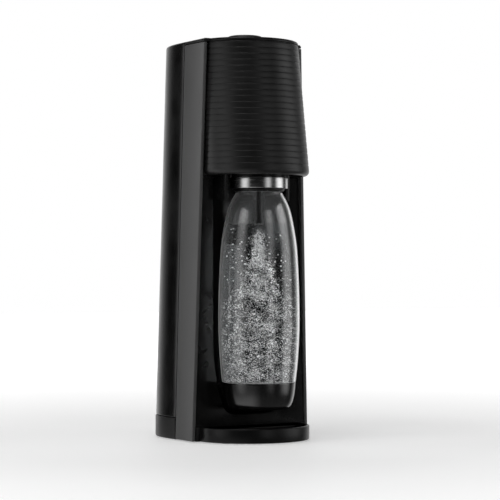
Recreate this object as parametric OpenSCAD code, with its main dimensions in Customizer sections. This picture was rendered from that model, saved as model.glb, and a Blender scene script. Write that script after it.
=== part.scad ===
// Countertop soda carbonator: a slim tower that holds a CO2 cylinder at the back and a
// clear bottle at the front. Millimetres, +Z up, the user in front at -Y.
// The origin is on the standing surface, under the middle of the whole machine.

/* [Overall size] */
// Height from the standing surface to the top of the button
total_h = 438; // [434:1:442]
// Width across the side panels at the bottom
body_w = 147; // [145:1:150]
// Width across the side panels at the top
top_w = 124; // [123:1:126]
// Front-to-back size of the whole machine
body_d = 189; // [187:1:191]

/* [Tower] */
// Thickness of each side panel
panel_t = 3.8; // [3:0.1:4]
// Wall thickness of the thin mouldings
wall = 2.6; // [2.2:0.1:2.8]
// How far the side panels' front edges lean forward at the top
panel_lean = 5.6; // [3:0.2:6]
// Height of the side panels' top edges
panel_top_z = 426; // [424:1:426]

/* [Head] */
// Radius of the head's round front at its lower rim
rim_r = 60; // [59:0.5:60.5]
// Radius of the head's round front at its top
crown_r = 58; // [57:0.5:58.5]
// Height where the head's wall meets the top cover
casing_top_z = 426.5; // [425:0.5:426.5]

/* [Bottle] */
// Largest radius of the bottle
bottle_r = 43.5; // [42:0.5:43.5]
// Height of the bottle's underside above the standing surface
bottle_z = 34; // [33:0.5:35]
// Radius of the steel collar round the bottle's neck
collar_r = 31; // [30:0.5:31.5]

/* [Gas cylinder] */
// Radius of the CO2 cylinder
cylinder_r = 30; // [28:0.5:30]
// Wall of the CO2 cylinder
cylinder_wall = 2.5; // [2:0.1:3]

/* [Hidden] */

$fn = 64;
eps = 0.02;

// Places along the depth of the machine
front_y = -body_d / 2;
rear_y = body_d / 2;
panel_front_y = -28.5;
seam_y = 8.5;
wall_y = -27.5;
bottle_y = -44.5;
cylinder_y = 46;
button_y = -16;
rim_y = front_y + rim_r;

// Heights
foot_h = 0.8;
front_base_z = 16;
rear_base_z = 24;
rim_z = 284;
rim_h = 6;
rim_top_z = rim_z + rim_h;
crown_z = total_h - 6.5;
button_top_z = total_h;
niche_floor_z = 28.6;
wall_top_z = 300;

// The tower narrows upward by this angle on each side
side_slope = (body_w - top_w) / 2 / panel_top_z;
side_angle = atan(side_slope);
function half_w(z) = body_w / 2 - side_slope * z;

// Points of half an ellipse (n = 2) or a squarer rounded outline (n above 2),
// from +X round to -X; side is 1 to bulge towards +Y and -1 towards -Y
function bulge(a, b, y0, n, side, steps = 36) = [
    for (i = [0 : steps])
        let (t = 180 * i / steps)
        [
            a * sign(cos(t)) * pow(abs(cos(t)), 2 / n),
            y0 + side * b * pow(abs(sin(t)), 2 / n)
        ]
];

// Outline with a half-round front of radius r about (0, yc) and straight sides that run
// back to y = back
module arch_2d(r, yc, back) {
    polygon(concat(bulge(r, r, yc, 2, -1, 48), [[-r, back], [r, back]]));
}

// A thin slice of that outline at height z, inset all round
module arch_slice(r, yc, back, z, inset) {
    translate([0, 0, z]) linear_extrude(eps) arch_2d(r - inset, yc, back);
}

// A plain tube standing on z = 0
module tube(r_out, r_in, h) {
    difference() {
        cylinder(r = r_out, h = h);
        translate([0, 0, -1]) cylinder(r = r_in, h = h + 2);
    }
}

// A helical wire standing on z = 0, made of short straight rings
module coil(radius, wire_r, turns, h, sides = 6, per_turn = 14) {
    steps = turns * per_turn;
    pts = [
        for (i = [0 : steps], k = [0 : sides - 1])
            let (
                a = 360 * i / per_turn,
                b = 360 * k / sides,
                r = radius + wire_r * cos(b)
            )
            [r * cos(a), r * sin(a), wire_r + (h - 2 * wire_r) * i / steps + wire_r * sin(b)]
    ];
    walls = [
        for (i = [0 : steps - 1], k = [0 : sides - 1])
            let (m = (k + 1) % sides)
            [i * sides + k, i * sides + m, (i + 1) * sides + m, (i + 1) * sides + k]
    ];
    ends = [
        [for (k = [sides - 1 : -1 : 0]) k],
        [for (k = [0 : sides - 1]) steps * sides + k]
    ];
    polyhedron(points = pts, faces = concat(walls, ends), convexity = 8);
}

// A countersunk-looking screw: a round head under a plain shank, pointing up
module screw(head_r, head_h, shank_r, length) {
    cylinder(r = head_r, h = head_h, $fn = 24);
    translate([0, 0, head_h - eps]) cylinder(r = shank_r, h = length, $fn = 24);
}

// ---- Base ----

base_arc_a = 64.2;
base_arc_b = 60.4;
base_mid_w = half_w(rear_base_z) - panel_t - 0.4;
base_top_t = 3;
tray_z = 9;
tray_rim = 4.5;
tray_gap = 0.3;
plate_t = 2.5;
screw_r = 2;
boss_top_z = tray_z - wall;
screw_spots = [[-30, -72], [30, -72], [-54, 0], [54, 0], [-34, 76], [34, 76]];
flange_screws = [[-40, -7], [40, -7]];

module base_outline_2d(inset = 0) {
    polygon(concat(
        bulge(base_arc_a - inset, base_arc_b - inset, panel_front_y, 2, -1),
        [[-base_mid_w + inset, panel_front_y], [-base_mid_w + inset, seam_y + inset]],
        [[base_mid_w - inset, seam_y + inset], [base_mid_w - inset, panel_front_y]]
    ));
}

module rear_outline_2d(inset = 0, z = 0) {
    polygon(bulge(half_w(z) - inset, rear_y - seam_y - inset, seam_y, 3, 1));
}

module tray_2d(inset = 0) {
    polygon(bulge(
        base_arc_a - tray_rim - inset, base_arc_b - tray_rim - inset,
        panel_front_y, 2, -1
    ));
}

module base_shell() {
    color("#1b1b1d")
    difference() {
        union() {
            translate([0, 0, foot_h]) linear_extrude(front_base_z - foot_h)
                base_outline_2d();
            translate([0, 0, foot_h]) linear_extrude(rear_base_z - foot_h)
                rear_outline_2d();
        }
        // hollow underside, closed by the bottom plate
        translate([0, 0, foot_h - 1]) linear_extrude(tray_z - wall - foot_h + 1)
            base_outline_2d(wall);
        translate([0, 0, foot_h - 1]) linear_extrude(rear_base_z - base_top_t - foot_h + 1)
            rear_outline_2d(wall);
        // sunken surface for the drip tray
        translate([0, 0, tray_z]) linear_extrude(front_base_z)
            tray_2d();
        // socket for the cylinder seat
        translate([0, cylinder_y, 0]) cylinder(r = cylinder_r + 4, h = rear_base_z + 1);
        // blind holes for the screws that hold the frame
        for (p = flange_screws) {
            translate([p[0], p[1], front_base_z - 6]) cylinder(r = screw_r, h = 10);
        }
    }
    // bosses for the bottom plate's screws
    color("#1b1b1d")
    for (p = screw_spots) {
        translate([p[0], p[1], foot_h + plate_t])
            tube(5, screw_r, (p[1] > seam_y ? rear_base_z - base_top_t : boss_top_z)
                - foot_h - plate_t + eps);
    }
}

module drip_tray() {
    floor_t = 1.6;
    color("#101012")
    translate([0, 0, tray_z])
    difference() {
        linear_extrude(4.2) tray_2d(tray_gap);
        translate([0, 0, floor_t]) linear_extrude(5) tray_2d(tray_gap + 1.4);
    }
}

module bottom_plate() {
    color("#232325")
    translate([0, 0, foot_h])
    difference() {
        union() {
            linear_extrude(plate_t) base_outline_2d(wall + 0.2);
            linear_extrude(plate_t) rear_outline_2d(wall + 0.2);
        }
        for (p = screw_spots) {
            translate([p[0], p[1], -1]) cylinder(r = screw_r, h = plate_t + 2);
        }
    }
}

module feet() {
    color("#0c0c0c")
    for (p = [[-44, -52], [44, -52], [-44, 66], [44, 66]]) {
        translate([p[0], p[1], 0]) cylinder(r = 7, h = foot_h);
    }
}

module base_screws() {
    color("#9a9a98")
    for (p = screw_spots) {
        translate([p[0], p[1], 0.3]) screw(3.6, foot_h - 0.3, screw_r, 4.6);
    }
}

// ---- Inner frame ----

frame_x = 52;
frame_t = 3;
deck_z = 328;
deck_t = 3;
spring_deck_z = 393;
yoke_z = 374;
pivot_y = bottle_y + 8;
pivot_z = 306;
pivot_pin_r = 3;
ear_x = 43;
ear_t = 4;
lever_pivot_y = 72;
lever_pivot_z = 413;
lever_pin_r = 2;
lever_pin_half = 31;
lever_w = 12;
post_x = 26;
slot_r = 15;
tube_r = 2;
tube_x = -49.6;
tube_y = 13;

// One side plate of the frame; the other is its mirror image
module frame_side() {
    top_z = 404;
    front = -22;
    deck_front = -36;
    back = 24;
    top_back = 42;
    translate([frame_x, 0, 0]) rotate([90, 0, 90])
        linear_extrude(frame_t)
            polygon([
                [front, rear_base_z], [back, rear_base_z], [back, deck_z + 12],
                [top_back, yoke_z - 8], [top_back, top_z], [front - 2, top_z],
                [deck_front, deck_z + 2], [deck_front, deck_z - 24], [front, deck_z - 24]
            ]);
}

module frame_left() {
    color("#3a3a3e") mirror([1, 0, 0]) frame_side();
}

module frame_right() {
    color("#3a3a3e") frame_side();
}

// Bracket that carries the two side plates on the base
module frame_bracket() {
    half = frame_x + frame_t;
    front = -21;
    depth = 28;
    color("#3a3a3e")
    difference() {
        translate([-half, front, front_base_z]) cube([2 * half, depth, rear_base_z - front_base_z]);
        for (p = flange_screws) {
            translate([p[0], p[1], front_base_z - 1]) cylinder(r = screw_r, h = 20);
        }
    }
}

module frame_screws() {
    color("#9a9a98")
    for (p = flange_screws) {
        translate([p[0], p[1], rear_base_z + 2]) rotate([180, 0, 0]) screw(4, 2, screw_r, 13);
    }
}

// Deck over the bottle holder, with two ears for the holder's pins
module holder_deck() {
    ear_top = deck_z + eps;
    ear_half = 8;
    front_r = 50;
    front_yc = -26;
    back = -10;
    color("#46464a")
    difference() {
        union() {
            translate([0, 0, deck_z]) linear_extrude(deck_t) arch_2d(front_r, front_yc, back);
            translate([-frame_x, front_yc, deck_z]) cube([2 * frame_x, back - front_yc, deck_t]);
            for (x = [-ear_x - ear_t, ear_x]) {
                translate([x, pivot_y - ear_half, pivot_z - ear_half - 1])
                    cube([ear_t, 2 * ear_half, ear_top - pivot_z + ear_half + 1]);
            }
        }
        translate([-ear_x - ear_t - 1, pivot_y, pivot_z]) rotate([0, 90, 0])
            cylinder(r = pivot_pin_r, h = 2 * (ear_x + ear_t + 1));
    }
}

// Cross deck that the lever's spring stands on
module spring_deck() {
    depth = 28;
    color("#46464a")
    translate([-frame_x, button_y - depth / 2, spring_deck_z]) cube([2 * frame_x, depth, deck_t]);
}

// Deck round the cylinder's valve, open to the back, with posts for the lever's pin
module valve_deck() {
    front = 8;
    side_back = 40;
    back = 78;
    back_half_w = 31;
    color("#46464a")
    difference() {
        union() {
            translate([0, 0, yoke_z]) linear_extrude(deck_t)
                polygon([
                    [-frame_x, front], [frame_x, front], [frame_x, side_back],
                    [back_half_w, back], [-back_half_w, back], [-frame_x, side_back]
                ]);
            for (x = [-post_x - 4, post_x]) {
                translate([x, lever_pivot_y - 6, yoke_z])
                    cube([4, 12, lever_pivot_z - yoke_z + 5]);
            }
        }
        // slot for the cylinder's valve
        translate([0, cylinder_y, yoke_z - 1]) cylinder(r = slot_r, h = deck_t + 2);
        translate([-slot_r, cylinder_y, yoke_z - 1]) cube([2 * slot_r, 40, deck_t + 2]);
        // bore for the lever's pin
        translate([-lever_pin_half, lever_pivot_y, lever_pivot_z]) rotate([0, 90, 0])
            cylinder(r = lever_pin_r, h = 2 * lever_pin_half);
        // passage for the gas tube
        translate([tube_x, tube_y, yoke_z - 1]) cylinder(r = tube_r + 0.3, h = deck_t + 2);
    }
}

// ---- Back wall with the bottle niche ----

niche_r = 50;
niche_wall = 2.4;

// Half section of the niche about the bottle's axis, grown outward by grow
module niche_2d(grow, top) {
    bottom = niche_floor_z - grow;
    polygon([
        [0, bottom], [27, bottom], [32.5, bottom + 1.4], [36.5 + grow, bottom + 5.5 + grow],
        [39.7 + grow, 42], [44.4 + grow, 58], [48.6 + grow, 85],
        [niche_r + grow, 112], [niche_r + grow, top], [0, top]
    ]);
}

module back_wall() {
    low_w = half_w(rear_base_z) - panel_t - 0.5;
    plate_top_z = rim_z - 0.3;
    high_w = half_w(plate_top_z) - panel_t - 0.5;
    beyond = 80;
    color("#0d0d0f")
    difference() {
        union() {
            translate([0, wall_y + wall, 0]) rotate([90, 0, 0]) linear_extrude(wall)
                polygon([
                    [-low_w, front_base_z], [low_w, front_base_z],
                    [high_w, plate_top_z], [-high_w, plate_top_z]
                ]);
            difference() {
                translate([0, bottle_y, 0]) rotate_extrude() niche_2d(niche_wall, wall_top_z);
                translate([-beyond, bottle_y - beyond, 0])
                    cube([2 * beyond, beyond + wall_y - bottle_y, total_h]);
            }
        }
        translate([0, bottle_y, 0]) rotate_extrude() niche_2d(0, wall_top_z + 1);
    }
}

// ---- Side panels ----

// The left panel lies on x = 0 before it leans in; its pegs reach the frame's side plate
module side_panel() {
    bottom_z = foot_h + 0.3;
    front_top_y = panel_front_y - panel_lean;
    peg_r = 3.5;
    translate([-body_w / 2, 0, 0]) rotate([0, side_angle, 0]) {
        rotate([90, 0, 90]) linear_extrude(panel_t)
            polygon([
                [panel_front_y, bottom_z], [seam_y - 0.4, bottom_z],
                [seam_y - 0.4, panel_top_z], [front_top_y, panel_top_z]
            ]);
        for (z = [60, 200, 310, 390]) {
            translate([panel_t - eps, -12, z]) rotate([0, 90, 0])
                cylinder(r = peg_r, h = half_w(z) - frame_x - frame_t - panel_t - 0.2);
        }
    }
}

module left_side_panel() {
    color("#47474a") side_panel();
}

module right_side_panel() {
    color("#47474a") mirror([1, 0, 0]) side_panel();
}

// ---- Head ----

head_tail = 4;
rim_t = 8;

// Radius and centre of the head's round front at a height
function head_share(z) = (z - rim_z) / (casing_top_z - rim_z);
function head_r(z) = rim_r + (crown_r - rim_r) * head_share(z);
function head_y(z) = rim_y + (button_y - rim_y) * head_share(z);

head_steps = 24;
head_wall = wall + 0.4;

// Outline of the head at a height, inset all round, from the back right corner round the
// front to the back left corner; the back keeps head_tail behind the round front's centre
function head_ring(z, inset) =
    let (
        r = head_r(z) - inset,
        back = head_y(z) + head_tail,
        outline = concat([[r, back]], bulge(r, r, head_y(z), 2, -1, head_steps), [[-r, back]])
    )
    [for (q = outline) [q[0], q[1], z]];

// Section through the head's wall as [height, inset] pairs, up the outside and down the inside
function head_section() = concat(
    [for (a = [0 : 22.5 : 67.5]) [rim_z + rim_h * (1 - cos(a)), rim_h * (1 - sin(a))]],
    [[rim_top_z, 0], [casing_top_z, 0], [casing_top_z, head_wall]],
    [[rim_top_z, head_wall], [rim_top_z, rim_t], [rim_z, rim_t]]
);

module head_shell() {
    section = head_section();
    n = len(section);
    m = head_steps + 3;
    pts = [for (q = section) each head_ring(q[0], q[1])];
    walls = [
        for (i = [0 : n - 1], k = [0 : m - 2])
            let (j = (i + 1) % n)
            [i * m + k, i * m + k + 1, j * m + k + 1, j * m + k]
    ];
    ends = [
        [for (i = [0 : n - 1]) i * m],
        [for (i = [n - 1 : -1 : 0]) i * m + m - 1]
    ];
    color("#151517") polyhedron(points = pts, faces = concat(walls, ends), convexity = 10);
}

// Plate inside the head's rim, open in the middle for the collar and the arms as they tilt
module head_underside() {
    plate_r = rim_r - rim_t - 1;
    opening_r = 37.3;
    arms_half_w = 43.5;
    color("#131315")
    translate([0, 0, rim_z + 1.5])
    difference() {
        linear_extrude(wall) arch_2d(plate_r, rim_y, wall_y - 1);
        translate([0, bottle_y - 1.5, -1]) cylinder(r = opening_r, h = wall + 2);
        translate([-arms_half_w, pivot_y - 17, -1]) cube([2 * arms_half_w, 40, wall + 2]);
    }
}

cover_t = 3;

// A block with rounded upper edges, lightly crowned towards the button
module crowned_block(r, yc, back) {
    low_z = casing_top_z;
    hull() {
        arch_slice(r, yc, back, low_z, 0);
        arch_slice(r, yc, back, crown_z - 4, 0);
        arch_slice(r, yc, back, crown_z - 2.2, 1);
        arch_slice(r, yc, back, crown_z - 1.3, 3.5);
        translate([0, button_y, crown_z - eps]) cylinder(r = bezel_r + 1, h = eps, $fn = 48);
    }
}

// The part of the cover that spans the two side panels
module crowned_bar(half, front, back) {
    hull() {
        for (level = [[casing_top_z, 0], [crown_z - 4, 0], [crown_z - 2.2, 1], [crown_z - 1.3, 3]]) {
            translate([-half + level[1], front, level[0]])
                cube([2 * (half - level[1]), back - front, eps]);
        }
    }
}

module top_cover() {
    inner_top = crown_z - cover_t - 1.3;
    back = seam_y - 0.4;
    color("#19191b")
    difference() {
        union() {
            crowned_block(crown_r, button_y, back);
            crowned_bar(half_w(casing_top_z) - 0.1, panel_front_y - panel_lean + 0.4, back);
        }
        translate([0, 0, casing_top_z - 1]) linear_extrude(inner_top - casing_top_z + 1)
            arch_2d(crown_r - cover_t, button_y, seam_y + 5);
        translate([0, button_y, casing_top_z - 5]) cylinder(r = bezel_r + 0.2, h = 20);
    }
}

bezel_r = 22;
button_r = 19.6;
bezel_z = 421;

module button_bezel() {
    color("#5a5a5c")
    translate([0, button_y, bezel_z])
    union() {
        tube(bezel_r, button_r + 0.4, crown_z - bezel_z + 0.5);
        translate([0, 0, crown_z - bezel_z + eps]) tube(bezel_r + 1.2, button_r + 0.4, 1);
    }
}

// ---- Button, lever and gas valve ----

button_skirt_z = 425;
stem_r = 3;
stem_z = 417.2;
lever_top_z = 416.5;
lever_t = 6;

module carbonating_button() {
    cap_h = button_top_z - button_skirt_z;
    edge_r = 2;
    color("#1d1d1f")
    translate([0, button_y, 0]) {
        translate([0, 0, button_skirt_z]) rotate_extrude() {
            square([button_r, cap_h - edge_r]);
            square([button_r - edge_r, cap_h]);
            translate([button_r - edge_r, cap_h - edge_r]) circle(edge_r, $fn = 32);
        }
        translate([0, 0, stem_z]) cylinder(r = stem_r, h = button_skirt_z - stem_z + 1);
    }
}

module lever_spring() {
    z0 = spring_deck_z + deck_t;
    color("#b9bbbd")
    translate([0, button_y, z0]) coil(5.2, 0.6, 5, lever_top_z - lever_t - z0 - 0.1);
}

module actuator_lever() {
    hub_half = 24;
    color("#d8d9d6")
    difference() {
        union() {
            translate([-lever_w / 2, button_y - 10, lever_top_z - lever_t])
                cube([lever_w, lever_pivot_y - button_y + 10, lever_t]);
            translate([-hub_half, lever_pivot_y, lever_pivot_z]) rotate([0, 90, 0])
                cylinder(r = 5, h = 2 * hub_half);
        }
        translate([-hub_half - 1, lever_pivot_y, lever_pivot_z]) rotate([0, 90, 0])
            cylinder(r = lever_pin_r + 0.05, h = 2 * hub_half + 2);
    }
}

module lever_pin() {
    color("#b9bbbd")
    translate([-lever_pin_half, lever_pivot_y, lever_pivot_z]) rotate([0, 90, 0])
        cylinder(r = lever_pin_r, h = 2 * lever_pin_half);
}

block_z = 384;
block_top_z = 402;
block_r = 14;
plunger_r = 2;
valve_top_z = 387.7;
port_z = 396;

module gas_block() {
    leg_x = 16;
    leg_w = 6;
    port_end = 19;
    color("#c9a24a")
    difference() {
        union() {
            translate([0, cylinder_y, block_z]) cylinder(r = block_r, h = block_top_z - block_z);
            // legs down to the yoke deck
            for (s = [-1, 1]) {
                translate([s > 0 ? leg_x : -leg_x - leg_w, cylinder_y - 7, yoke_z + deck_t])
                    cube([leg_w, 14, block_top_z - yoke_z - deck_t - 4]);
            }
            translate([-20, cylinder_y - 6, block_top_z - 9]) cube([40, 12, 5]);
            // outlet port towards the front
            translate([0, cylinder_y, port_z]) rotate([90, 0, 0]) cylinder(r = 4, h = port_end);
        }
        translate([0, cylinder_y, block_z - 1]) cylinder(r = plunger_r + 0.05, h = 30);
        translate([0, cylinder_y, block_z - 1]) cylinder(r = 10.3, h = 7);
        translate([0, cylinder_y - 3, port_z]) rotate([90, 0, 0]) cylinder(r = 1.5, h = 30);
        // holes in the legs for the lock lever's pins
        for (x = [-lock_pin_out, lock_pin_in]) {
            translate([x, cylinder_y, lock_z]) rotate([0, 90, 0])
                cylinder(r = lock_pin_r, h = lock_pin_out - lock_pin_in);
        }
    }
}

module gas_block_seal() {
    color("#2a2a2a")
    translate([0, cylinder_y, valve_top_z + 0.3]) tube(10, 4, 2);
}

module valve_plunger() {
    low_z = 390.4;
    collar_low_z = block_top_z + 4.2;
    color("#b9bbbd")
    translate([0, cylinder_y, 0]) {
        translate([0, 0, low_z]) cylinder(r = plunger_r, h = lever_top_z - lever_t - 0.5 - low_z);
        translate([0, 0, collar_low_z]) cylinder(r = 4, h = 1.2);
    }
}

// Safety valve, screwed into the block's front right side
module relief_valve() {
    color("#c9a24a")
    translate([0, cylinder_y, port_z]) rotate([0, 0, -45]) rotate([0, 90, 0]) {
        translate([0, 0, block_r + 0.05]) cylinder(r = 4, h = 6, $fn = 6);
        translate([0, 0, block_r + 5]) cylinder(r = 2.6, h = 6);
    }
}

// Gas tube: forward out of the gas block, across to the left, down, then forward again
// to the elbow on the holder's pivot
module gas_tube() {
    start_y = cylinder_y - 19;
    bend = 10;
    drop = port_z - pivot_z - 2 * bend;
    end_y = pivot_y + 4.5;
    color("#d6d6cf")
    union() {
        translate([0, start_y, port_z]) rotate([90, 0, 0])
            cylinder(r = tube_r, h = start_y - tube_y - bend);
        translate([-bend, tube_y + bend, port_z]) rotate([0, 0, -90])
            rotate_extrude(angle = 90) translate([bend, 0]) circle(tube_r);
        translate([-bend, tube_y, port_z]) rotate([0, -90, 0])
            cylinder(r = tube_r, h = -tube_x - 2 * bend);
        translate([tube_x + bend, tube_y, port_z - bend]) rotate([90, 0, 0]) rotate([0, 0, 90])
            rotate_extrude(angle = 90) translate([bend, 0]) circle(tube_r);
        translate([tube_x, tube_y, pivot_z + bend]) cylinder(r = tube_r, h = drop);
        translate([tube_x, tube_y - bend, pivot_z + bend]) rotate([0, 90, 0])
            rotate_extrude(angle = 90) translate([bend, 0]) circle(tube_r);
        translate([tube_x, tube_y - bend, pivot_z]) rotate([90, 0, 0])
            cylinder(r = tube_r, h = tube_y - bend - end_y);
    }
}

module gas_elbow() {
    color("#c9a24a")
    difference() {
        translate([-ear_x - ear_t - 4.9, pivot_y, pivot_z]) rotate([0, 90, 0])
            cylinder(r = 4.5, h = 4.8);
        translate([-ear_x - ear_t - 2, pivot_y, pivot_z]) rotate([0, 90, 0])
            cylinder(r = pivot_pin_r, h = 5);
    }
}

// ---- Bottle holder ----

neck_bore_r = 23;
collar_z = 270.2;
collar_h = 12;
yoke_top_z = 296;
seal_z = 290.8;
seal_h = 3;
arm_t = 4.5;
arm_x = 36.5;
head_top_z = 318;
nozzle_r = 2.7;
nozzle_end_z = 229;

module holder_yoke() {
    yoke_r = collar_r - 1.5;
    arm_low_z = 258;
    bridge_z = 286;
    beyond = 60;
    color("#0e0e10")
    difference() {
        union() {
            translate([0, bottle_y, collar_z]) cylinder(r = yoke_r, h = yoke_top_z - collar_z);
            // bridge to the arms
            translate([-arm_x - 1, bottle_y - 6, bridge_z])
                cube([2 * arm_x + 2, 24, yoke_top_z - bridge_z]);
            for (x = [-arm_x - arm_t, arm_x]) {
                translate([x, bottle_y + 3, arm_low_z]) cube([arm_t, 15, yoke_top_z - arm_low_z]);
                translate([x, pivot_y - 7, yoke_top_z - 1])
                    cube([arm_t, 14, pivot_z - yoke_top_z + 1]);
                translate([x, pivot_y, pivot_z]) rotate([0, 90, 0])
                    cylinder(r = 7, h = arm_t);
            }
        }
        translate([0, bottle_y, collar_z - 1])
            cylinder(r = neck_bore_r, h = seal_z - collar_z + seal_h + 1);
        translate([0, bottle_y, collar_z]) cylinder(r = 8, h = 40);
        translate([-beyond, pivot_y, pivot_z]) rotate([0, 90, 0])
            cylinder(r = pivot_pin_r + 0.05, h = 2 * beyond);
    }
}

module holder_pins() {
    color("#b9bbbd")
    for (x = [-ear_x - ear_t - 2, arm_x]) {
        translate([x, pivot_y, pivot_z]) rotate([0, 90, 0])
            cylinder(r = pivot_pin_r, h = ear_x + ear_t + 2 - arm_x);
    }
}

// Two steel leaves under the deck that bear on the round ends of the arms
module holder_detent() {
    leaf_z = pivot_z + 7.4;
    color("#b9bbbd")
    for (x = [-arm_x - arm_t + 0.5, arm_x + 0.5]) {
        translate([x, pivot_y - 6, leaf_z]) cube([3.5, 12, 0.8]);
        translate([x, pivot_y + 5.2, leaf_z]) cube([3.5, 0.8, deck_z - leaf_z]);
    }
}

module carbonation_head() {
    color("#2c2c30")
    difference() {
        union() {
            translate([0, bottle_y, yoke_top_z]) cylinder(r = 18, h = head_top_z - yoke_top_z);
            translate([0, bottle_y, seal_z + seal_h]) cylinder(r = 7.9, h = 10);
        }
        translate([0, bottle_y, seal_z]) cylinder(r = nozzle_r, h = 20);
    }
}

module neck_seal() {
    color("#2a2a2a")
    translate([0, bottle_y, seal_z]) tube(neck_bore_r - 0.1, 8, seal_h);
}

module nozzle_tube() {
    color("#111113")
    translate([0, bottle_y, nozzle_end_z + 7]) tube(nozzle_r, 1.2, 300 - nozzle_end_z);
}

module nozzle_tip() {
    color("#111113")
    translate([0, bottle_y, nozzle_end_z])
        tube(3.3, 0.8, 7);
}

module steel_collar() {
    color("#c9cbcd")
    translate([0, bottle_y, collar_z]) tube(collar_r, collar_r - 1.4, collar_h);
}

module lower_ring() {
    color("#0a0a0b")
    translate([0, bottle_y, collar_z - 3.1]) tube(27.5, neck_bore_r, 3);
}

// ---- Bottle ----

neck_r = 22;
bottle_wall = 1.8;
mouth_z = 290.5;
cup_top_z = 63;

// Smooth curve through the points of an outline, steps pieces between each two
function on_curve(p, i, t) =
    let (
        n = len(p) - 1,
        a = p[max(i - 1, 0)],
        b = p[i],
        c = p[i + 1],
        d = p[min(i + 2, n)]
    )
    0.5 * (2 * b + (c - a) * t + (2 * a - 5 * b + 4 * c - d) * t * t
        + (3 * b - a - 3 * c + d) * t * t * t);
function smooth(p, steps = 4) = concat(
    [for (i = [0 : len(p) - 2], k = [0 : steps - 1]) on_curve(p, i, k / steps)],
    [p[len(p) - 1]]
);
function reversed(p) = [for (i = [len(p) - 1 : -1 : 0]) p[i]];
function thinner(p, t) = [for (q = p) [q[0] - t, q[1]]];

// Side of the bottle from the top of its cup to the shoulder under the collar
bottle_side = [
    [bottle_r - 4, cup_top_z + 0.6], [bottle_r - 1.8, 85], [bottle_r - 0.1, 115],
    [bottle_r, 145], [bottle_r - 1.2, 183], [bottle_r - 3.6, 215],
    [bottle_r - 10, 247.5], [25, 266]
];
// Round bottom of the bottle, inside the cup
bottle_bottom = [
    [0, bottle_z + 4.6], [18, bottle_z + 5.2], [30, bottle_z + 9],
    [36, bottle_z + 18], [37.5, cup_top_z]
];

module bottle() {
    outer = concat(smooth(bottle_bottom), smooth(bottle_side),
        [[neck_r, 267], [neck_r, mouth_z]]);
    inner = concat(
        smooth([for (q = bottle_bottom) [max(q[0] - bottle_wall, 0), q[1] + 1.2]]),
        thinner(smooth(bottle_side), bottle_wall),
        [[neck_r - bottle_wall, 267], [neck_r - bottle_wall, mouth_z]]
    );
    color([0.85, 0.88, 0.9, 0.4])
    translate([0, bottle_y, 0]) rotate_extrude($fn = 96)
        polygon(concat(outer, reversed(inner)));
}

module bottle_cup() {
    outside = [
        [24, bottle_z], [30.5, bottle_z + 0.8], [35, bottle_z + 5.2],
        [37.8, bottle_z + 15], [bottle_r - 4.1, cup_top_z]
    ];
    inside = [for (q = bottle_bottom) [q[0] > 0 ? q[0] + 0.35 : 0, q[1] - 0.4]];
    color("#0b0b0c")
    translate([0, bottle_y, 0]) rotate_extrude($fn = 96)
        polygon(concat(
            [[0, bottle_z]], smooth(outside), [[37.9, cup_top_z]], reversed(smooth(inside))
        ));
}

// ---- Gas cylinder ----

cylinder_z = 10.5;
shoulder_z = 330;
cylinder_top_z = 352;
lock_z = 383;
lock_pin_r = 2;
lock_arm_x = 23;
lock_arm_t = 2.5;
lock_pin_in = 16.5;
lock_pin_out = lock_arm_x + lock_arm_t + 1;

module gas_cylinder() {
    color("#8f9498")
    difference() {
        translate([0, cylinder_y, 0]) rotate_extrude($fn = 96)
            polygon(concat(
                [[0, cylinder_z], [cylinder_r - 4, cylinder_z]],
                [
                    for (a = [-60 : 30 : 0])
                        [cylinder_r - 4 + 4 * cos(a), cylinder_z + 4 + 4 * sin(a)]
                ],
                [
                    for (a = [0 : 15 : 75])
                        [
                            12 + (cylinder_r - 12) * cos(a),
                            shoulder_z + (cylinder_top_z - shoulder_z) * sin(a)
                        ]
                ],
                [[12, cylinder_top_z], [0, cylinder_top_z]]
            ));
        // inside of the cylinder
        translate([0, cylinder_y, 0]) rotate_extrude($fn = 96)
            polygon(concat(
                [[0, cylinder_z + 5], [cylinder_r - cylinder_wall, cylinder_z + 5]],
                [
                    for (a = [0 : 15 : 75])
                        [9 + (cylinder_r - cylinder_wall - 9) * cos(a), shoulder_z + 17 * sin(a)]
                ],
                [[6, cylinder_top_z - 4], [6, cylinder_top_z + 1], [0, cylinder_top_z + 1]]
            ));
    }
}

module cylinder_valve() {
    color("#c9a24a")
    translate([0, cylinder_y, 0])
    difference() {
        union() {
            translate([0, 0, cylinder_top_z - 10]) cylinder(r = 6, h = 11);
            translate([0, 0, cylinder_top_z]) cylinder(r = 13, h = 9, $fn = 6);
            translate([0, 0, cylinder_top_z + 8]) cylinder(r = 8, h = 8);
            translate([0, 0, cylinder_top_z + 15]) cylinder(r = 10, h = valve_top_z - cylinder_top_z - 15);
        }
        translate([0, 0, cylinder_top_z + 20]) cylinder(r = 2.6, h = 30);
    }
}

module cylinder_seat() {
    seat_r = cylinder_r + 3.8;
    color("#2a2a2d")
    translate([0, cylinder_y, foot_h + plate_t])
    difference() {
        cylinder(r = seat_r, h = rear_base_z - foot_h - plate_t + 4);
        translate([0, 0, 3]) cylinder(r = cylinder_r + 0.4, h = 40);
    }
}

module lock_lever() {
    reach = 77;
    color("#b0476a")
    difference() {
        union() {
            for (x = [-lock_arm_x - lock_arm_t, lock_arm_x]) {
                translate([x, cylinder_y, lock_z - 3]) cube([lock_arm_t, reach - cylinder_y, 6]);
                translate([x, cylinder_y, lock_z]) rotate([0, 90, 0])
                    cylinder(r = 4.5, h = lock_arm_t);
            }
            translate([-lock_arm_x - 1, reach - 6, lock_z - 3]) cube([2 * lock_arm_x + 2, 6, 6]);
        }
        translate([-40, cylinder_y, lock_z]) rotate([0, 90, 0])
            cylinder(r = lock_pin_r + 0.05, h = 80);
    }
}

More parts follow.
